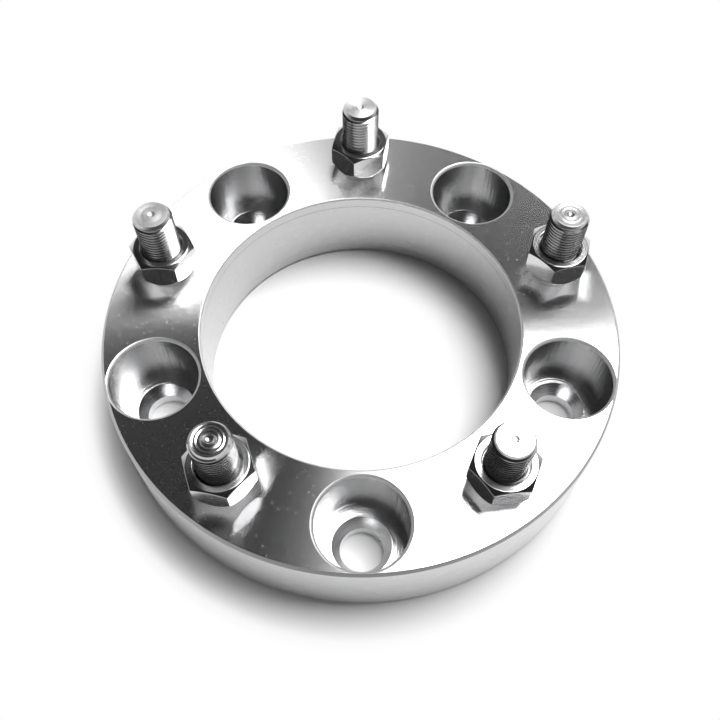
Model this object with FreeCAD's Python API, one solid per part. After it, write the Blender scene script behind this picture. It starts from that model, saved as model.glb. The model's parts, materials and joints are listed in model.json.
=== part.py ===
"""Five-lug wheel spacer: a turned aluminium ring with pressed-in studs and their lug nuts.

Millimetres, +Z up. The origin is the centre of the back face, which bolts to the
vehicle's hub. The wheel goes on the front face, over the studs. One of the lug holes
lies on -Y.
"""

import FreeCAD
import Part
import math
import os

# Ring
outer_diameter = 171.0
thickness = 30.0
bore_diameter = 106.5
outer_chamfer = 0.9
bore_front_chamfer = 0.5
bore_lead_in = 1.0  # wider chamfer at the back, which guides the ring onto the hub
bolt_circle_diameter = 139.7
lug_count = 5

# Holes for the vehicle's own studs and lug nuts
lug_pocket_diameter = 28.5
lug_pocket_rim_chamfer = 0.75
lug_floor_height = 8.7  # metal left between the pocket's floor and the back face
lug_seat_diameter = 19.0
lug_hole_diameter = 14.0
lug_hole_back_chamfer = 0.5
seat_cone_angle = 60.0  # whole angle of every conical seat, on ring and nuts alike

# Studs
stud_diameter = 12.7
stud_projection = 28.3  # how far a stud stands out of the front face
stud_tip_diameter = 10.4
stud_tip_length = 1.6
stud_dimple_diameter = 2.4
stud_dimple_depth = 0.8
stud_head_diameter = 22.0
stud_head_thickness = 5.0
stud_head_chamfer = 0.6
stud_seat_height = 12.0  # the head's seat, above the back face
head_pocket_clearance = 0.75
head_pocket_rim_chamfer = 0.5
serration_diameter = 14.6
serration_length = 8.0
serration_lead = 0.8
serration_depth = 0.4
serration_groove_width = 1.1
serration_count = 24

# Lug nuts
nut_across_flats = 19.05
nut_height = 13.0
nut_top_shoulder = 0.45  # from the flats in to the flat top face
nut_top_chamfer_angle = 30.0
nut_mouth_gap = 0.95  # from the stud out to the rim of the countersunk mouth
nut_nose_land = 0.3  # width of the nose's flat end outside the stud's hole
nut_thread_clearance = 0.1
nut_turns = (18.0, 59.0, 48.0, 7.0, 14.0)  # where each nut stopped, in degrees

# Worked out from the sizes above
bolt_circle_radius = bolt_circle_diameter / 2
step_angle = 360.0 / lug_count
lug_angles = [-90.0 + step_angle * k for k in range(lug_count)]
stud_angles = [90.0 + step_angle * k for k in range(lug_count)]
cone_slope = math.tan(math.radians(seat_cone_angle / 2))
stud_hole_radius = serration_diameter / 2
stud_tip_height = thickness + stud_projection
overrun = 1.0  # how far a cutting shape runs past the face that it opens


def revolved(outline):
    """Turn a closed outline of (radius, height) points about the Z axis."""
    corners = [FreeCAD.Vector(radius, 0, height) for radius, height in outline]
    face = Part.Face(Part.makePolygon(corners + corners[:1]))
    return face.revolve(FreeCAD.Vector(0, 0, 0), FreeCAD.Vector(0, 0, 1), 360)


def on_bolt_circle(shape, angle):
    """Copy a shape from the Z axis to its place on the bolt circle."""
    placed = shape.copy()
    placed.translate(FreeCAD.Vector(bolt_circle_radius, 0, 0))
    placed.rotate(FreeCAD.Vector(0, 0, 0), FreeCAD.Vector(0, 0, 1), angle)
    return placed


def ring_blank():
    """The turned ring before drilling, with all four edges broken."""
    outer = outer_diameter / 2
    inner = bore_diameter / 2
    return revolved([
        (inner + bore_lead_in, 0),
        (outer - outer_chamfer, 0),
        (outer, outer_chamfer),
        (outer, thickness - outer_chamfer),
        (outer - outer_chamfer, thickness),
        (inner + bore_front_chamfer, thickness),
        (inner, thickness - bore_front_chamfer),
        (inner, bore_lead_in),
    ])


def lug_hole():
    """Cutting shape of one lug hole: deep pocket, conical seat and through hole."""
    pocket = lug_pocket_diameter / 2
    seat = lug_seat_diameter / 2
    hole = lug_hole_diameter / 2
    seat_depth = (seat - hole) / cone_slope
    back = lug_hole_back_chamfer
    rim = lug_pocket_rim_chamfer
    return revolved([
        (0, -overrun),
        (hole + back + overrun, -overrun),
        (hole + back, 0),
        (hole, back),
        (hole, lug_floor_height - seat_depth),
        (seat, lug_floor_height),
        (pocket, lug_floor_height),
        (pocket, thickness - rim),
        (pocket + rim, thickness),
        (pocket + rim + overrun, thickness + overrun),
        (0, thickness + overrun),
    ])


def stud_hole():
    """Cutting shape of one stud hole, with the pocket for the stud's head at the back."""
    pocket = stud_head_diameter / 2 + head_pocket_clearance
    rim = head_pocket_rim_chamfer
    return revolved([
        (0, -overrun),
        (pocket + rim + overrun, -overrun),
        (pocket + rim, 0),
        (pocket, rim),
        (pocket, stud_seat_height),
        (stud_hole_radius, stud_seat_height),
        (stud_hole_radius, thickness + overrun),
        (0, thickness + overrun),
    ])


def spacer_ring():
    """The one-piece ring, with lug holes and stud holes by turns round the bolt circle."""
    cuts = [on_bolt_circle(lug_hole(), angle) for angle in lug_angles]
    cuts += [on_bolt_circle(stud_hole(), angle) for angle in stud_angles]
    return ring_blank().cut(cuts)


def serration_groove():
    """Cutting shape of one straight V groove along a stud's shoulder, at angle zero."""
    root = stud_hole_radius - serration_depth
    rim = stud_hole_radius + overrun
    spread = serration_groove_width / 2 * (rim - root) / serration_depth
    corners = [
        FreeCAD.Vector(root, 0, stud_seat_height),
        FreeCAD.Vector(rim, -spread, stud_seat_height),
        FreeCAD.Vector(rim, spread, stud_seat_height),
    ]
    face = Part.Face(Part.makePolygon(corners + corners[:1]))
    return face.extrude(FreeCAD.Vector(0, 0, serration_length))


def wheel_stud():
    """A press-in stud: flat head, serrated shoulder, shank and turned lead at the tip."""
    head = stud_head_diameter / 2
    shank = stud_diameter / 2
    head_bottom = stud_seat_height - stud_head_thickness
    shoulder_top = stud_seat_height + serration_length
    body = revolved([
        (0, head_bottom),
        (head - stud_head_chamfer, head_bottom),
        (head, head_bottom + stud_head_chamfer),
        (head, stud_seat_height),
        (stud_hole_radius, stud_seat_height),
        (stud_hole_radius, shoulder_top - serration_lead),
        (shank, shoulder_top),
        (shank, stud_tip_height - stud_tip_length),
        (stud_tip_diameter / 2, stud_tip_height),
        (stud_dimple_diameter / 2, stud_tip_height),
        (0, stud_tip_height - stud_dimple_depth),
    ])
    grooves = []
    for k in range(serration_count):
        groove = serration_groove()
        turn = 360.0 * k / serration_count
        groove.rotate(FreeCAD.Vector(0, 0, 0), FreeCAD.Vector(0, 0, 1), turn)
        grooves.append(groove)
    return body.cut(grooves)


def hexagon_bar():
    """The hexagonal bar that a nut is turned from."""
    corner_radius = nut_across_flats / math.sqrt(3)
    corners = []
    for k in range(6):
        angle = math.radians(60 * k)
        x = corner_radius * math.cos(angle)
        y = corner_radius * math.sin(angle)
        corners.append(FreeCAD.Vector(x, y, thickness))
    face = Part.Face(Part.makePolygon(corners + corners[:1]))
    return face.extrude(FreeCAD.Vector(0, 0, nut_height))


def lug_nut():
    """An open lug nut: conical nose down on the ring, chamfered top and countersunk mouth."""
    nose = stud_hole_radius + nut_nose_land
    past_corners = nut_across_flats / math.sqrt(3) + overrun
    top = thickness + nut_height
    top_face = nut_across_flats / 2 - nut_top_shoulder
    top_slope = math.tan(math.radians(nut_top_chamfer_angle))
    turned = revolved([
        (0, thickness),
        (nose, thickness),
        (past_corners, thickness + (past_corners - nose) / cone_slope),
        (past_corners, top - (past_corners - top_face) * top_slope),
        (top_face, top),
        (0, top),
    ])
    bore = stud_diameter / 2 + nut_thread_clearance
    mouth = stud_diameter / 2 + nut_mouth_gap
    drilled = revolved([
        (0, thickness - overrun),
        (bore, thickness - overrun),
        (bore, top - (mouth - bore)),
        (mouth, top),
        (mouth, top + overrun),
        (0, top + overrun),
    ])
    return hexagon_bar().common(turned).cut(drilled)


def main():
    """Write the ring, each stud and each nut as a STEP file of its own."""
    os.makedirs("parts", exist_ok=True)
    nodes = {"spacer_ring": spacer_ring()}
    stud = wheel_stud()
    nut = lug_nut()
    for k, angle in enumerate(stud_angles):
        nodes[f"wheel_stud_{k + 1}"] = on_bolt_circle(stud, angle)
        turned_nut = nut.copy()
        turn = nut_turns[k % len(nut_turns)] - angle
        turned_nut.rotate(FreeCAD.Vector(0, 0, 0), FreeCAD.Vector(0, 0, 1), turn)
        nodes[f"lug_nut_{k + 1}"] = on_bolt_circle(turned_nut, angle)
    for name, shape in nodes.items():
        solid = shape.Solids[0]
        solid.exportStep(f"parts/{name}.step")
        print(name, "solids", len(shape.Solids), "valid", solid.isValid(), "volume", round(solid.Volume, 1))


main()
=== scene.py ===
"""Five-lug wheel spacer: the looks of the turned ring, its press-in studs and its lug nuts.

Metres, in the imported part's own frame: the hub side lies on z = 0 and the wheel side faces up.
Sizes below are in millimetres, as on a drawing, and mm turns them into metres.
"""

import json
import math

import bmesh
import bpy
from mathutils import Matrix, Quaternion, Vector


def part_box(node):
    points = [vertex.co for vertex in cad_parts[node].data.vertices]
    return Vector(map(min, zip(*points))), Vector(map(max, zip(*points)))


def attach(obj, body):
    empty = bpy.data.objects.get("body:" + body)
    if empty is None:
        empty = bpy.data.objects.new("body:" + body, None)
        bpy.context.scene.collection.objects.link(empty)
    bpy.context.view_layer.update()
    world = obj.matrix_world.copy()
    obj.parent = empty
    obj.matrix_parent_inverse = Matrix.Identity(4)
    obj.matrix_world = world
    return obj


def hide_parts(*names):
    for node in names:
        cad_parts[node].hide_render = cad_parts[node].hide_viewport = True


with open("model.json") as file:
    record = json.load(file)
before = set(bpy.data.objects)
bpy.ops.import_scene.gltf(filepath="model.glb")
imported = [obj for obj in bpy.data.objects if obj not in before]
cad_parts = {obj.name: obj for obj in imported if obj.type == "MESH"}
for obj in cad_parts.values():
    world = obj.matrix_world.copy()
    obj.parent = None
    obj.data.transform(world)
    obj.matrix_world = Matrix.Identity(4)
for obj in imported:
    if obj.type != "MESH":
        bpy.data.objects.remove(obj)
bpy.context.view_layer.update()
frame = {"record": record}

mm = 0.001

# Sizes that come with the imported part
mounts = {mount["name"]: mount["dims"] for mount in frame["record"]["mounts"]}
ring_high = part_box("spacer_ring")[1]
stud_low, stud_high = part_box("wheel_stud_1")
nut_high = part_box("lug_nut_1")[1]
outer_radius = ring_high.x
thickness = ring_high.z
bore_radius = mounts["centre_bore"]["r_mm"] * mm
bolt_radius = mounts["hub_bolts"]["pcd_mm"] / 2 * mm
lug_hole_radius = mounts["hub_bolts"]["hole_r_mm"] * mm
lug_count = mounts["hub_bolts"]["count"]
stud_tip = stud_high.z
stud_head_bottom = stud_low.z
stud_head_radius = (stud_high.x - stud_low.x) / 2
nut_top = nut_high.z
lug_step = 2 * math.pi / lug_count
lug_start = -math.pi / 2
stud_start = math.pi / 2

# Ring
outer_chamfer = 0.9 * mm
bore_front_chamfer = 0.5 * mm
bore_lead_in = 1.0 * mm
witness_line_height = 25.9 * mm
witness_line_depth = 0.06 * mm
pocket_radius = 14.25 * mm
pocket_chamfer = 0.75 * mm
pocket_floor = 8.7 * mm
seat_radius = 9.5 * mm
hole_back_chamfer = 0.5 * mm
cone_slope = math.tan(math.radians(30))
stud_hole_radius = 7.3 * mm
stud_seat = 12.0 * mm
head_pocket_radius = stud_head_radius + 0.75 * mm
head_pocket_chamfer = 0.5 * mm
weld = 0.002 * mm
past = 1.0 * mm  # how far a cutter runs past the face that it opens
ring_columns = 360
hole_columns = 96

# Studs
stud_radius = 6.35 * mm
head_chamfer = 0.6 * mm
shoulder_top = 20.0 * mm
shoulder_lead = 0.8 * mm
serration_root = 6.9 * mm
serration_count = 24
tip_radius = 5.2 * mm
tip_lead = 1.6 * mm
dimple_radius = 1.2 * mm
dimple_depth = 0.8 * mm
# Grooves that facing left on each stud's tip: radius, half width and depth, from the outermost in
tip_ridges = [
    [],
    [(3.3 * mm, 0.4 * mm, 0.05 * mm)],
    [(4.4 * mm, 0.4 * mm, 0.22 * mm), (3.3 * mm, 0.5 * mm, 0.28 * mm), (2.1 * mm, 0.5 * mm, 0.35 * mm)],
    [],
    [(3.6 * mm, 0.5 * mm, 0.10 * mm), (2.3 * mm, 0.5 * mm, 0.12 * mm)],
]
thread_pitch = 1.27 * mm
thread_depth = 0.78 * mm
thread_runout = 3.0 * mm
crest_share = 1 / 8
root_share = 1 / 4
thread_weld = 0.004 * mm
stud_columns = 4 * serration_count

# Lug nuts
nut_half_flats = 9.525 * mm
nut_top_shoulder = 0.45 * mm
nut_top_slope = math.tan(math.radians(30))
nut_nose_radius = 7.6 * mm
nut_bore_radius = 6.45 * mm
nut_mouth_radius = 7.3 * mm
nut_columns = 120
nut_edge = 0.14 * mm
nut_turns = (18.0, 59.0, 48.0, 7.0, 14.0)

# Camera, as it stood for the photograph
camera_place = (-1.8139, -148.8474, 256.6545)  # millimetres
camera_aim = (-0.2385, 2.5293, 0.0)
camera_roll = -0.4307  # degrees
camera_lens = 40.672
camera_sensor = 36.0

# Room: how bright it is from the horizon, at 0, to straight above, at 1, as light and as seen by camera and metal
room_levels = [(0.0, 0.4), (0.08, 0.25), (0.2, 0.03), (1.0, 0.015)]
backdrop_levels = [(0.0, 1.0), (0.14, 1.0), (0.34, 0.03), (1.0, 0.015)]

# Paper under the ring, and how much painted white glow it shows at each distance from the ring's axis, in
# millimetres: full at the bore's centre and away from the ring, fading out near its walls where the shadow lies
paper_half_width = 3.0
paper_tone = 0.93
paper_gap = 0.02 * mm
paper_reach = 110
painted_paper_glow = [
    (0, 1.0), (25, 0.3), (38, 0.03), (53, 0.0),
    (85.5, 0.05), (89.5, 0.18), (92, 0.28), (94.5, 0.46), (97.5, 0.84), (101, 1.0),
]

# Lamps: distance, width, height and power of each panel, all hung in one direction
lamp_azimuth = 38
lamp_elevation = 67.5
key_panel = (3.0, 1.3, 1.68, 88)
soft_panel = (3.05, 2.06, 1.68, 24)

# Finishes of the ring, in the order of its face numbers
FACE, WALL, BORE, EDGE, POCKET, FLOOR, SEAT, HOLE, RIM = range(9)


class Wire:
    """An output socket. Arithmetic on it adds Math nodes to its tree."""

    def __init__(self, bench, socket):
        self.bench = bench
        self.socket = socket

    def math(self, operation, *others):
        values = dict(enumerate((self,) + others))
        return self.bench.node("ShaderNodeMath", {"operation": operation}, values).out()

    def __add__(self, other):
        return self.math("ADD", other)

    def __sub__(self, other):
        return self.math("SUBTRACT", other)

    def __rsub__(self, other):
        return self.bench.value(other).math("SUBTRACT", self)

    def __mul__(self, other):
        return self.math("MULTIPLY", other)

    def __truediv__(self, other):
        return self.math("DIVIDE", other)

    def __mod__(self, other):
        return self.math("FLOORED_MODULO", other)

    def __gt__(self, other):
        return self.math("GREATER_THAN", other)

    __radd__ = __add__
    __rmul__ = __mul__


class Made:
    """A node that has been added, with its outputs as wires."""

    def __init__(self, bench, node):
        self.bench = bench
        self.node = node

    def out(self, output=0):
        return Wire(self.bench, self.node.outputs[output])


class Bench:
    """Adds nodes to one tree."""

    def __init__(self, tree):
        self.tree = tree

    def node(self, kind, settings=None, sockets=None):
        """Add a node: its settings first, then the values or wires of its sockets."""
        node = self.tree.nodes.new(kind)
        for name, value in (settings or {}).items():
            if name == "stops":
                self.set_stops(node.color_ramp, value)
            else:
                setattr(node, name, value)
        for key, value in (sockets or {}).items():
            for part in value if isinstance(value, list) else [value]:
                if isinstance(part, Wire):
                    self.tree.links.new(part.socket, node.inputs[key])
                else:
                    node.inputs[key].default_value = part
        return Made(self, node)

    def set_stops(self, ramp, stops):
        while len(ramp.elements) < len(stops):
            ramp.elements.new(1.0)
        for element, (place, level) in zip(ramp.elements, stops):
            element.position = place
            element.color = (level, level, level, 1.0)

    def value(self, number):
        made = self.node("ShaderNodeValue")
        made.node.outputs[0].default_value = number
        return made.out()


def mesh_object(name, mesh):
    """An object for a mesh, in the scene."""
    piece = bpy.data.objects.new(name, mesh)
    bpy.context.scene.collection.objects.link(piece)
    return piece


def lathed(name, columns, outline_at):
    """Turn an outline about Z. outline_at(column) lists (radius, height, finish) points, each with the
    finish of the face that follows it, outwards along the bottom and back along the top. A finish of
    None leaves that face out."""
    shape = bmesh.new()
    angles = [2 * math.pi * k / columns for k in range(columns)]
    outlines = [outline_at(k) for k in range(columns)]
    count = len(outlines[0])
    rows = []
    for p in range(count):
        if outlines[0][p][0] == 0:
            rows.append([shape.verts.new((0, 0, outlines[0][p][1]))] * columns)
            continue
        row = []
        for angle, outline in zip(angles, outlines):
            radius, height = outline[p][:2]
            row.append(shape.verts.new((radius * math.cos(angle), radius * math.sin(angle), height)))
        rows.append(row)
    open_ends = outlines[0][0][0] == 0 or outlines[0][-1][2] is None
    for p in range(count - 1 if open_ends else count):
        finish = outlines[0][p][2]
        if finish is None:
            continue
        low, high = rows[p], rows[(p + 1) % count]
        for k in range(columns):
            n = (k + 1) % columns
            corners = list(dict.fromkeys((low[k], low[n], high[n], high[k])))
            shape.faces.new(corners).material_index = finish
    mesh = bpy.data.meshes.new(name)
    shape.to_mesh(mesh)
    shape.free()
    return mesh


def baked(piece):
    """Replace a piece's live modifiers by the plain mesh that they make."""
    graph = bpy.context.evaluated_depsgraph_get()
    mesh = bpy.data.meshes.new_from_object(piece.evaluated_get(graph), depsgraph=graph)
    piece.modifiers.clear()
    old = piece.data
    piece.data = mesh
    bpy.data.meshes.remove(old)
    return piece


def sharpen_between_finishes(mesh):
    """Keep an edge crisp where one finish ends and another starts."""
    finishes = {}
    for face in mesh.polygons:
        for key in face.edge_keys:
            finishes.setdefault(key, set()).add(face.material_index)
    for edge in mesh.edges:
        if len(finishes.get(edge.key, ())) > 1:
            edge.use_edge_sharp = True


def finished(piece):
    """Weld a piece, turn its faces outwards and keep its machined edges crisp."""
    shape = bmesh.new()
    shape.from_mesh(piece.data)
    bmesh.ops.remove_doubles(shape, verts=shape.verts, dist=weld)
    bmesh.ops.recalc_face_normals(shape, faces=shape.faces)
    shape.to_mesh(piece.data)
    shape.free()
    piece.data.shade_smooth()
    piece.data.set_sharp_from_angle(angle=math.radians(30))
    sharpen_between_finishes(piece.data)
    return piece


def geometry_tree(name, inputs):
    """A Geometry Nodes tree with a named input for each size."""
    tree = bpy.data.node_groups.new(name, "GeometryNodeTree")
    tree.interface.new_socket("Geometry", in_out="INPUT", socket_type="NodeSocketGeometry")
    tree.interface.new_socket("Geometry", in_out="OUTPUT", socket_type="NodeSocketGeometry")
    for label, value in inputs.items():
        kind = "NodeSocketFloat"
        if isinstance(value, int):
            kind = "NodeSocketInt"
        elif isinstance(value, bpy.types.Object):
            kind = "NodeSocketObject"
        elif isinstance(value, bpy.types.Material):
            kind = "NodeSocketMaterial"
        tree.interface.new_socket(label, in_out="INPUT", socket_type=kind)
    return tree


def run_tree(piece, tree, inputs):
    """Put a tree on a piece with its inputs set, and bake it."""
    modifier = piece.modifiers.new(tree.name, "NODES")
    modifier.node_group = tree
    for item in tree.interface.items_tree:
        if item.in_out == "INPUT" and item.name in inputs:
            modifier[item.identifier] = inputs[item.name]
    return baked(piece)


# Ring


def softened(radius, top, chamfer):
    """The points up a chamfer round a hole. Both its ends are eased, and catch the light as real edges do."""
    ease = 0.2 * chamfer
    reach = math.sqrt(2) * ease
    return [
        (radius, top - chamfer - reach, RIM),
        (radius + ease, top - chamfer + ease, RIM),
        (radius + chamfer - ease, top - ease, RIM),
        (radius + chamfer + reach, top, RIM),
    ]


def ring_outline(column):
    line_top = witness_line_height + witness_line_depth
    line_bottom = witness_line_height - witness_line_depth
    rim = softened(bore_radius, thickness, bore_front_chamfer)
    return [
        (bore_radius + bore_lead_in, 0, FACE),
        (outer_radius - outer_chamfer, 0, EDGE),
        (outer_radius, outer_chamfer, WALL),
        (outer_radius, thickness - outer_chamfer, EDGE),
        (outer_radius - outer_chamfer, thickness, FACE),
        *rim[:0:-1],
        (*rim[0][:2], BORE),
        (bore_radius, line_top, BORE),
        (bore_radius + witness_line_depth, witness_line_height, BORE),
        (bore_radius, line_bottom, BORE),
        (bore_radius, bore_lead_in, EDGE),
    ]


def lug_hole_outline(column):
    seat_depth = (seat_radius - lug_hole_radius) / cone_slope
    back = hole_back_chamfer
    rim = softened(pocket_radius, thickness, pocket_chamfer)
    return [
        (0, -past, HOLE),
        (lug_hole_radius + back + past, -past, EDGE),
        (lug_hole_radius, back, HOLE),
        (lug_hole_radius, pocket_floor - seat_depth, SEAT),
        (seat_radius, pocket_floor, FLOOR),
        (pocket_radius, pocket_floor, POCKET),
        *rim[:-1],
        (rim[-1][0] + past, thickness + past * (math.sqrt(2) - 1), HOLE),
        (rim[-1][0] + past, thickness + past, HOLE),
        (0, thickness + past, HOLE),
    ]


def stud_hole_outline(column):
    return [
        (0, -past, HOLE),
        (head_pocket_radius + head_pocket_chamfer + past, -past, EDGE),
        (head_pocket_radius, head_pocket_chamfer, POCKET),
        (head_pocket_radius, stud_seat, FLOOR),
        (stud_hole_radius, stud_seat, HOLE),
        (stud_hole_radius, thickness + past, HOLE),
        (0, thickness + past, HOLE),
    ]


def drilling_tree(finish_count, inputs):
    """Copy each cutter round the bolt circle, cut the copies out and give each face its finish."""
    tree = geometry_tree("drill_bolt_circle", inputs)
    bench = Bench(tree)
    given = bench.node("NodeGroupInput")
    copies = []
    for cutter, start in (("Lug hole", "Lug start"), ("Stud hole", "Stud start")):
        circle = bench.node("GeometryNodeMeshCircle", {"fill_type": "NONE"},
                            {"Vertices": given.out("Count"), "Radius": given.out("Bolt radius")})
        turn = bench.node("ShaderNodeCombineXYZ", sockets={"Z": given.out(start)})
        placed = bench.node("GeometryNodeTransform", sockets={"Geometry": circle.out(), "Rotation": turn.out()})
        shape = bench.node("GeometryNodeObjectInfo", {"transform_space": "ORIGINAL"},
                           {"Object": given.out(cutter), "As Instance": True})
        spread = bench.node("GeometryNodeInstanceOnPoints",
                            sockets={"Points": placed.out(), "Instance": shape.out("Geometry")})
        copies.append(bench.node("GeometryNodeRealizeInstances", sockets={"Geometry": spread.out()}).out())
    cut = bench.node("GeometryNodeMeshBoolean", {"operation": "DIFFERENCE", "solver": "EXACT"},
                     {"Mesh 1": given.out("Geometry"), "Mesh 2": copies})
    made = bench.node("GeometryNodeRealizeInstances", sockets={"Geometry": cut.out()}).out()
    finish = bench.node("GeometryNodeInputNamedAttribute", {"data_type": "INT"}, {"Name": "finish"}).out()
    for number in range(finish_count):
        chosen = bench.node("FunctionNodeCompare", {"data_type": "INT", "operation": "EQUAL"},
                            {2: finish, 3: number}).out()
        painted = {"Geometry": made, "Selection": chosen, "Material": given.out(f"Finish {number}")}
        made = bench.node("GeometryNodeSetMaterial", sockets=painted).out()
    bench.node("NodeGroupOutput", sockets={"Geometry": made})
    return tree


def with_finish_numbers(mesh):
    """Write each face's finish number as an attribute, which survives the drilling."""
    numbers = mesh.attributes.new("finish", "INT", "FACE")
    numbers.data.foreach_set("value", [face.material_index for face in mesh.polygons])
    for face in mesh.polygons:
        face.material_index = 0
    return mesh


def make_ring(materials):
    ring = mesh_object("turned_ring", with_finish_numbers(lathed("turned_ring", ring_columns, ring_outline)))
    cutters = {
        "Lug hole": lathed("lug_hole_cutter", hole_columns, lug_hole_outline),
        "Stud hole": lathed("stud_hole_cutter", hole_columns, stud_hole_outline),
    }
    inputs = {label: mesh_object(mesh.name, with_finish_numbers(mesh)) for label, mesh in cutters.items()}
    inputs.update({"Bolt radius": bolt_radius, "Count": lug_count, "Lug start": lug_start, "Stud start": stud_start})
    inputs.update({f"Finish {number}": material for number, material in enumerate(materials)})
    run_tree(ring, drilling_tree(len(materials), inputs), inputs)
    for label in cutters:
        bpy.data.objects.remove(inputs[label])
    return finished(ring)


# Studs


def stud_ends_outline(column, ridges):
    """The stud's head and serrated shoulder, and its tip with the grooves that facing left. The thread
    joins them."""
    crest = serration_root if column % 4 == 0 else stud_hole_radius
    lead = shoulder_top - shoulder_lead
    facing = [(radius + side * half, stud_tip - (0 if side else depth), 1)
              for radius, half, depth in ridges for side in (1, 0, -1)]
    return [
        (0, stud_head_bottom, 0),
        (stud_head_radius - head_chamfer, stud_head_bottom, 0),
        (stud_head_radius, stud_head_bottom + head_chamfer, 0),
        (stud_head_radius, stud_seat, 0),
        (crest, stud_seat, 0),
        (crest, lead, 0),
        (stud_radius, shoulder_top, None),
        (tip_radius, stud_tip, 1),
        *facing,
        (dimple_radius, stud_tip, 1),
        (0, stud_tip - dimple_depth, 1),
    ]


def thread_tree(inputs):
    """Roll a grid into a right-hand thread, clamped between its ends and to the tip's taper."""
    tree = geometry_tree("cut_thread", inputs)
    bench = Bench(tree)
    given = bench.node("NodeGroupInput")
    pitch = given.out("Pitch")
    columns = given.out("Columns")
    across = columns + 1
    rows = given.out("Turns") * 4
    grid = bench.node("GeometryNodeMeshGrid", sockets={"Vertices X": rows, "Vertices Y": across})
    index = bench.node("GeometryNodeInputIndex").out()
    column = index % across
    row = ((index + 0.5) / across).math("FLOOR")
    phase = row % 4
    turn = (row / 4 + 0.01).math("FLOOR")
    flank = (1 - crest_share - root_share) / 2
    share = (phase > 0.5) * crest_share + (phase > 1.5) * flank + (phase > 2.5) * root_share
    raw_height = given.out("Bottom") + (turn + share + column / columns - 1) * pitch
    height = raw_height.math("MAXIMUM", given.out("Bottom")).math("MINIMUM", given.out("Top"))
    crest = given.out("Crest radius")
    cut = (phase > 1.5) * given.out("Depth")
    shallow = ((height - given.out("Bottom")) / given.out("Run-out")).math("MINIMUM", 1.0) * given.out("Depth")
    spread = (crest - given.out("Tip radius")) / given.out("Lead")
    taper = given.out("Tip radius") + (given.out("Top") - height) * spread
    radius = (crest - cut.math("MINIMUM", shallow)).math("MINIMUM", taper)
    angle = column / columns * (2 * math.pi)
    place = bench.node("ShaderNodeCombineXYZ",
                       sockets={"X": radius * angle.math("COSINE"), "Y": radius * angle.math("SINE"), "Z": height})
    rolled = bench.node("GeometryNodeSetPosition", sockets={"Geometry": grid.out(), "Position": place.out()})
    threaded = bench.node("GeometryNodeStoreNamedAttribute", {"data_type": "BOOLEAN", "domain": "FACE"},
                          {"Geometry": rolled.out(), "Name": "threaded", "Value": True}).out()
    joined = bench.node("GeometryNodeJoinGeometry", sockets={"Geometry": [threaded, given.out("Geometry")]}).out()
    turned = bench.node("ShaderNodeCombineXYZ", sockets={"Z": given.out("Place angle")}).out()
    out_along_x = bench.node("ShaderNodeCombineXYZ", sockets={"X": given.out("Bolt radius")}).out()
    shifted = bench.node("GeometryNodeTransform", sockets={"Geometry": joined, "Translation": out_along_x}).out()
    placed = bench.node("GeometryNodeTransform", sockets={"Geometry": shifted, "Rotation": turned}).out()
    welded = bench.node("GeometryNodeMergeByDistance", sockets={"Geometry": placed, "Distance": thread_weld}).out()
    made = bench.node("GeometryNodeRealizeInstances", sockets={"Geometry": welded}).out()
    marked = bench.node("GeometryNodeInputNamedAttribute", {"data_type": "BOOLEAN"}, {"Name": "threaded"}).out()
    made = bench.node("GeometryNodeSetMaterial", sockets={"Geometry": made, "Selection": marked,
                                                          "Material": given.out("Thread finish")}).out()
    bench.node("NodeGroupOutput", sockets={"Geometry": made})
    return tree


def make_studs(thread_finish, head_finish, tip_finishes):
    studs = []
    inputs = {
        "Pitch": thread_pitch, "Depth": thread_depth, "Crest radius": stud_radius, "Bottom": shoulder_top,
        "Top": stud_tip, "Run-out": thread_runout, "Tip radius": tip_radius, "Lead": tip_lead,
        "Columns": stud_columns, "Turns": math.ceil((stud_tip - shoulder_top) / thread_pitch) + 3,
        "Bolt radius": bolt_radius, "Place angle": 0.0, "Thread finish": thread_finish,
    }
    tree = thread_tree(inputs)
    for k in range(lug_count):
        mesh = lathed("stud_ends", stud_columns, lambda column: stud_ends_outline(column, tip_ridges[k]))
        mesh.materials.append(head_finish)
        mesh.materials.append(tip_finishes[k])
        stud = mesh_object(f"press_in_stud_{k + 1}", mesh)
        inputs["Place angle"] = stud_start + lug_step * k
        studs.append(finished(run_tree(stud, tree, inputs)))
    return studs


# Lug nuts


def nut_outline(column):
    """A hexagon bar crossed with a turned nose and top. Corners lie on every sixth of a turn."""
    angle = 2 * math.pi * column / nut_columns
    from_flat = angle % (math.pi / 3) - math.pi / 6
    bar = nut_half_flats / math.cos(from_flat)
    face = nut_half_flats - nut_top_shoulder
    return [
        (nut_bore_radius, thickness, 0),
        (nut_nose_radius, thickness, 0),
        (bar, thickness + (bar - nut_nose_radius) / cone_slope, 0),
        (bar, nut_top - (bar - face) * nut_top_slope, 0),
        (face, nut_top, 1),
        (nut_mouth_radius, nut_top, 0),
        (nut_bore_radius, nut_top - (nut_mouth_radius - nut_bore_radius), 0),
    ]


def make_nuts(finish, top_finish):
    nuts = []
    for k in range(lug_count):
        mesh = lathed("nut_bar", nut_columns, nut_outline)
        mesh.materials.append(finish)
        mesh.materials.append(top_finish)
        place = stud_start + lug_step * k
        turn = math.radians(nut_turns[k % len(nut_turns)]) - place
        mesh.transform(Matrix.Rotation(place, 4, "Z") @ Matrix.Translation((bolt_radius, 0, 0))
                       @ Matrix.Rotation(turn, 4, "Z"))
        nut = finished(mesh_object(f"cone_seat_nut_{k + 1}", mesh))
        edges = nut.modifiers.new("broken_edges", "BEVEL")
        edges.width = nut_edge
        edges.segments = 2
        edges.limit_method = "ANGLE"
        edges.angle_limit = math.radians(20)
        edges.harden_normals = True
        nut.data.shade_smooth()
        nuts.append(baked(nut))
    return nuts


# Materials


def new_material(name):
    material = bpy.data.materials.new(name)
    material.use_nodes = True
    material.node_tree.nodes.clear()
    return material, Bench(material.node_tree)


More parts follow.
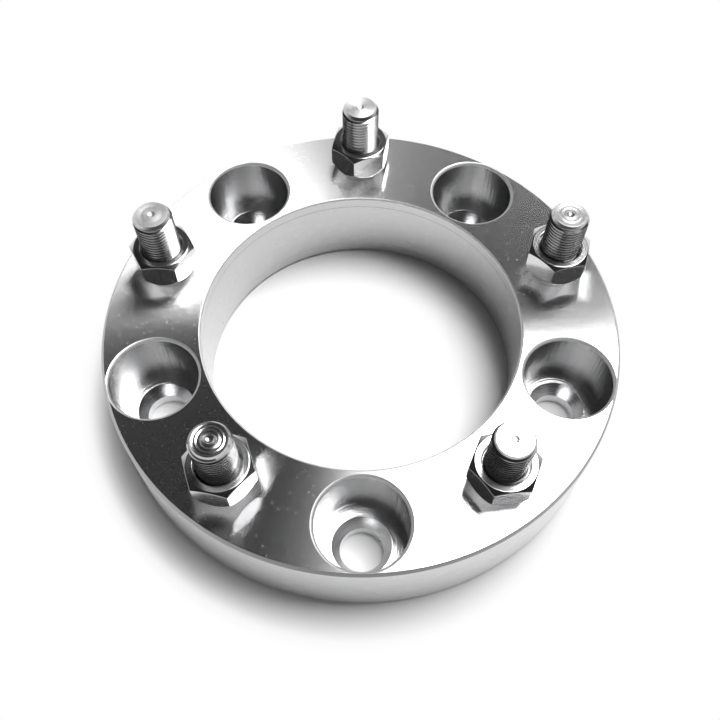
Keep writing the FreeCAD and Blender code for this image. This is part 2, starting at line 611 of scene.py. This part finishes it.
def place_of(bench):
    """A point's coordinates, as one vector and as three numbers."""
    coordinates = bench.node("ShaderNodeTexCoord").out("Object")
    split = bench.node("ShaderNodeSeparateXYZ", sockets={0: coordinates})
    return coordinates, [split.out(k) for k in range(3)]


def from_ring_axis(x, y):
    """Distance from the ring's axis."""
    return (x * x + y * y).math("SQRT")


def from_hole_axis(x, y, start):
    """Distance from the nearest hole's axis on the bolt circle."""
    radius = from_ring_axis(x, y)
    angle = y.math("ARCTAN2", x) - start
    near = angle - (angle / lug_step + 0.5).math("FLOOR") * lug_step
    out = radius * near.math("COSINE") - bolt_radius
    side = radius * near.math("SINE")
    return (out * out + side * side).math("SQRT")


def lines(bench, along, per_mm, detail=3.0):
    """Fine uneven lines across one direction, from 0 to 1: a cutting tool's marks."""
    return bench.node("ShaderNodeTexNoise", {"noise_dimensions": "1D"},
                      {"W": along * (per_mm / mm), "Scale": 1.0, "Detail": detail, "Roughness": 0.6}).out()


def speckle(bench, coordinates, size_mm, detail=2.0):
    """Cloudy spots of about one size, from 0 to 1."""
    return bench.node("ShaderNodeTexNoise", {"noise_dimensions": "3D"},
                      {"Vector": coordinates, "Scale": 1 / (size_mm * mm), "Detail": detail}).out()


darkest_tone = 0.93
palest_tone = 1.03
marks_in_gloss = 0.25
clouds_in_gloss = 0.2
dust_level = 0.7


def metal(name, colour, roughness, turned, relief, anisotropy=0.0, dust=0.0):
    """Bare metal. turned(bench) gives the marks and clouds that vary its tone, gloss and relief, both
    from 0 to 1. dust is how much rougher the brightest clouds are."""
    material, bench = new_material(name)
    marks, clouds = turned(bench)
    tone = bench.node("ShaderNodeMapRange", sockets={
        "Value": marks * 0.6 + clouds * 0.4,
        "From Min": 0.3, "From Max": 0.7, "To Min": 0.0, "To Max": 1.0,
    }).out()
    low = tuple(c * darkest_tone for c in colour) + (1.0,)
    high = tuple(min(1.0, c * palest_tone) for c in colour) + (1.0,)
    shade = bench.node("ShaderNodeMix", {"data_type": "RGBA"}, {0: tone, 6: low, 7: high}).out(2)
    gloss = (marks - 0.5) * (marks_in_gloss * roughness) + (clouds - 0.5) * (clouds_in_gloss * roughness)
    gloss = gloss + roughness
    if dust:
        gloss = gloss + (clouds > dust_level) * dust
    bump = bench.node("ShaderNodeBump", sockets={"Strength": 1.0, "Distance": relief, "Height": marks})
    surface = bench.node("ShaderNodeBsdfPrincipled",
                         sockets={"Base Color": shade, "Metallic": 1.0, "Roughness": gloss,
                                  "Anisotropic": anisotropy, "Anisotropic Rotation": 0.25, "Normal": bump.out()})
    bench.node("ShaderNodeOutputMaterial", sockets={"Surface": surface.out()})
    return material


def across_face(bench):
    """The ring's faces: circles from the facing tool, and fine grain."""
    coordinates, (x, y, z) = place_of(bench)
    return lines(bench, from_ring_axis(x, y), 3.0), speckle(bench, coordinates, 1.0)


def round_wall(bench):
    """The outer wall and the bore: rings from the turning tool."""
    coordinates, (x, y, z) = place_of(bench)
    return lines(bench, z, 2.5), speckle(bench, coordinates, 3.0)


def round_pocket(bench):
    """A pocket's wall: rings from the boring tool, and upright streaks from drawing it out."""
    coordinates, (x, y, z) = place_of(bench)
    upright = bench.node("ShaderNodeCombineXYZ", sockets={"X": x, "Y": y, "Z": z * 0.04}).out()
    streaks = speckle(bench, upright, 0.9, 3.0)
    return lines(bench, z, 6.0, 1.0) * 0.15 + streaks * 0.85, streaks


def across_pocket(bench):
    """A pocket's floor and seat: circles round its own axis."""
    coordinates, (x, y, z) = place_of(bench)
    return lines(bench, from_hole_axis(x, y, lug_start), 8.0, 1.0), speckle(bench, coordinates, 2.0)


def across_stud(bench):
    """A stud's tip and a nut's top: circles round the stud's axis."""
    coordinates, (x, y, z) = place_of(bench)
    return lines(bench, from_hole_axis(x, y, stud_start), 2.0), speckle(bench, coordinates, 1.0)


def plain_steel(bench):
    """Plated steel without a tool's marks."""
    coordinates, (x, y, z) = place_of(bench)
    return speckle(bench, coordinates, 0.8), speckle(bench, coordinates, 4.0)


aluminium = (0.92, 0.92, 0.925)
# Painted shade: the chamfers are the face's aluminium set darker
shaded_edge_aluminium = (0.50, 0.50, 0.505)
# Painted shade: the outer wall is the face's aluminium set darker
shaded_wall_aluminium = (0.76, 0.76, 0.765)
# Painted shade: the bore is the face's aluminium set darker still
shaded_bore_aluminium = (0.60, 0.60, 0.605)
# Painted shade: the pockets' walls are the face's aluminium set darker, as shade in the recesses
shaded_pocket_aluminium = (0.54, 0.54, 0.545)
# Painted shade: the nut seats deep in the pockets are the face's aluminium set darkest
shaded_seat_aluminium = (0.48, 0.48, 0.485)
zinc = (0.86, 0.86, 0.865)
# Painted shade: the nuts' flats and faced tops are darker copies of the heads' zinc
shaded_nut_zinc = (0.72, 0.72, 0.725)
shaded_faced_zinc = (0.66, 0.66, 0.665)
# Painted shade: the thread is a darker copy of the zinc, to keep its lit side from going white
shaded_thread_zinc = (0.56, 0.56, 0.56)

ring_finishes = {
    FACE: metal("turned_face", aluminium, 0.25, across_face, 0.002 * mm, anisotropy=1.0, dust=0.08),
    WALL: metal("turned_outer_wall", shaded_wall_aluminium, 0.26, round_wall, 0.002 * mm, anisotropy=0.6),
    BORE: metal("bored_wall", shaded_bore_aluminium, 0.26, round_wall, 0.002 * mm, anisotropy=0.6),
    EDGE: metal("broken_edge", shaded_edge_aluminium, 0.34, across_face, 0.0),
    POCKET: metal("pocket_wall", shaded_pocket_aluminium, 0.24, round_pocket, 0.09 * mm, anisotropy=1.0),
    FLOOR: metal("pocket_floor", aluminium, 0.14, across_pocket, 0.03 * mm),
    SEAT: metal("nut_seat", shaded_seat_aluminium, 0.18, across_pocket, 0.02 * mm),
    HOLE: metal("drilled_hole", aluminium, 0.30, round_pocket, 0.006 * mm),
    RIM: metal("pocket_rim", aluminium, 0.48, across_face, 0.0),
}
thread_finish = metal("plated_thread", shaded_thread_zinc, 0.22, plain_steel, 0.001 * mm)
head_finish = metal("plated_head", zinc, 0.25, plain_steel, 0.002 * mm)
nut_finish = metal("bright_plated_nut", shaded_nut_zinc, 0.16, plain_steel, 0.002 * mm)
nut_top_finish = metal("faced_nut_top", shaded_faced_zinc, 0.20, across_stud, 0.006 * mm)

# Each stud's tip was faced a little differently, which sets its roughness, relief and anisotropy; its grey is
# painted shade, set lighter or darker stud by stud: colour, roughness, relief and anisotropy
tip_recipes = [
    (0.92, 0.44, 0.006 * mm, 0.4),
    (0.80, 0.46, 0.004 * mm, 0.2),
    (0.58, 0.24, 0.010 * mm, 0.6),
    (0.86, 0.26, 0.008 * mm, 0.8),
    (0.36, 0.36, 0.010 * mm, 0.4),
]
tip_finishes = [metal(f"turned_tip_{k + 1}", (tip_shade_grey, tip_shade_grey, tip_shade_grey), roughness, across_stud, relief, anisotropy)
                for k, (tip_shade_grey, roughness, relief, anisotropy) in enumerate(tip_recipes)]


# The object

ring = make_ring([ring_finishes[number] for number in range(len(ring_finishes))])
studs = make_studs(thread_finish, head_finish, tip_finishes)
nuts = make_nuts(nut_finish, nut_top_finish)

for piece, node, slot in (
    [(ring, "spacer_ring", "turned_aluminium")]
    + [(stud, f"wheel_stud_{k + 1}", "plated_steel") for k, stud in enumerate(studs)]
    + [(nut, f"lug_nut_{k + 1}", "plated_steel") for k, nut in enumerate(nuts)]
):
    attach(piece, "root")
    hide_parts(node)


# Floor, light and camera


def seen_rays(bench):
    """One for the rays by which the camera, metal or glass shows the surroundings, and zero for the rest."""
    rays = bench.node("ShaderNodeLightPath")
    seen = rays.out("Is Camera Ray").math("MAXIMUM", rays.out("Is Glossy Ray"))
    return seen.math("MAXIMUM", rays.out("Is Transmission Ray"))


def lay_floor():
    """White paper just under the ring, which keeps its shadow; a painted white glow, seen by camera and metal,
    covers it at the bore's centre and away from the ring.
    """
    shape = bmesh.new()
    bmesh.ops.create_grid(shape, x_segments=1, y_segments=1, size=paper_half_width)
    bmesh.ops.translate(shape, verts=shape.verts, vec=(0, 0, -paper_gap))
    mesh = bpy.data.meshes.new("floor")
    shape.to_mesh(mesh)
    shape.free()
    floor = mesh_object("floor", mesh)
    material, bench = new_material("white_paper")
    coordinates, (x, y, z) = place_of(bench)
    stops = [(distance / paper_reach, share) for distance, share in painted_paper_glow]
    away = bench.node("ShaderNodeValToRGB", {"stops": stops}, {"Fac": from_ring_axis(x, y) / (paper_reach * mm)})
    white = bench.node("ShaderNodeEmission", sockets={"Color": (1.0, 1.0, 1.0, 1.0), "Strength": 1.0})
    paper = bench.node("ShaderNodeBsdfDiffuse", sockets={"Color": (paper_tone, paper_tone, paper_tone, 1.0)})
    share = seen_rays(bench) * away.out()
    surface = bench.node("ShaderNodeMixShader", sockets={0: share, 1: paper.out(), 2: white.out()})
    bench.node("ShaderNodeOutputMaterial", sockets={"Surface": surface.out()})
    mesh.materials.append(material)


def hang_panel(name, distance, width, height, watts):
    """A soft panel lamp that faces the ring, with its sides along X and Y."""
    azimuth = math.radians(lamp_azimuth)
    elevation = math.radians(lamp_elevation)
    data = bpy.data.lights.new(name, "AREA")
    data.shape = "RECTANGLE"
    data.size = width
    data.size_y = height
    data.energy = watts
    lamp = bpy.data.objects.new(name, data)
    bpy.context.scene.collection.objects.link(lamp)
    level = math.cos(elevation)
    outwards = Vector((level * math.cos(azimuth), level * math.sin(azimuth), math.sin(elevation)))
    lamp.location = outwards * distance
    spin = Quaternion((0, 0, 1), math.pi / 2 - azimuth)
    lamp.rotation_euler = (outwards.to_track_quat("Z", "Y") @ spin).to_euler()


def light_room():
    """A dim room, paler towards the horizon, where camera and metal see a white backdrop."""
    world = bpy.data.worlds.new("room")
    world.use_nodes = True
    world.node_tree.nodes.clear()
    bench = Bench(world.node_tree)
    direction = bench.node("ShaderNodeTexCoord").out("Generated")
    height = bench.node("ShaderNodeSeparateXYZ", sockets={0: direction}).out("Z")
    level = bench.node("ShaderNodeValToRGB", {"stops": room_levels}, {"Fac": height})
    backdrop = bench.node("ShaderNodeValToRGB", {"stops": backdrop_levels}, {"Fac": height})
    shown = bench.node("ShaderNodeMix", {"data_type": "RGBA"},
                       {0: seen_rays(bench), 6: level.out(), 7: backdrop.out()}).out(2)
    light = bench.node("ShaderNodeBackground", sockets={"Color": shown, "Strength": 1.0})
    bench.node("ShaderNodeOutputWorld", sockets={"Surface": light.out()})
    bpy.context.scene.world = world


def stand_camera():
    """The camera where the photographer's stood, turned a little about its own line of sight."""
    place = Vector(camera_place) * mm
    forward = (Vector(camera_aim) * mm - place).normalized()
    level = forward.cross(Vector((0, 0, 1))).normalized()
    down = forward.cross(level)
    roll = math.radians(camera_roll)
    right = level * math.cos(roll) + down * math.sin(roll)
    up = level * math.sin(roll) - down * math.cos(roll)
    data = bpy.data.cameras.new("camera")
    data.sensor_width = camera_sensor
    data.lens = camera_lens
    data.clip_start = 0.01
    camera = bpy.data.objects.new("camera", data)
    bpy.context.scene.collection.objects.link(camera)
    camera.matrix_world = Matrix.Translation(place) @ Matrix((right, up, -forward)).transposed().to_4x4()
    bpy.context.scene.camera = camera


lay_floor()
light_room()
hang_panel("key_panel", *key_panel)
hang_panel("soft_panel", *soft_panel)
stand_camera()
bpy.context.scene.view_settings.view_transform = "Standard"

bpy.context.view_layer.update()
